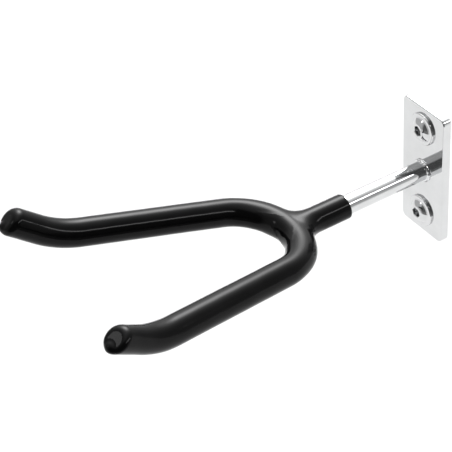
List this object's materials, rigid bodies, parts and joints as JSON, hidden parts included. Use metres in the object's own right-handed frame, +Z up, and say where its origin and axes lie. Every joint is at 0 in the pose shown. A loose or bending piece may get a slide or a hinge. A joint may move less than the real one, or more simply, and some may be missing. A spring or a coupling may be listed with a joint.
{
  "type": "bicycle wall rack",
  "caption": "Wall-held bicycle rack: a chrome plate with collar button screws, a level round stem and a dipped black fork whose splayed arms rise and turn up at the tips.",
  "frame": {"origin": "middle of the wall plate's back face, on the wall", "axes": "+Y into the wall, so the rack reaches out along -Y; +Z up; +X to the right for someone facing the wall"},
  "size_m": [0.1428, 0.2734, 0.0969],
  "materials": {
    "plate_chrome": "bright nickel-chrome plating",
    "stem_chrome": "bright nickel-chrome plating",
    "weld_chrome": "plated over a fillet weld",
    "bare_steel": "bare steel under the coating",
    "weld_steel": "weld metal under the coating",
    "black_pvc": "glossy dipped soft vinyl",
    "screw_chrome": "bright plated screw"
  },
  "bodies": {
    "root": {"wall_plate": "plate_chrome", "stem_rod": "stem_chrome", "root_weld": "weld_chrome", "fork_bar": "bare_steel", "fork_weld": "weld_steel", "fork_coating": "black_pvc", "upper_screw": "screw_chrome", "lower_screw": "screw_chrome"}
  },
  "joints": []
}
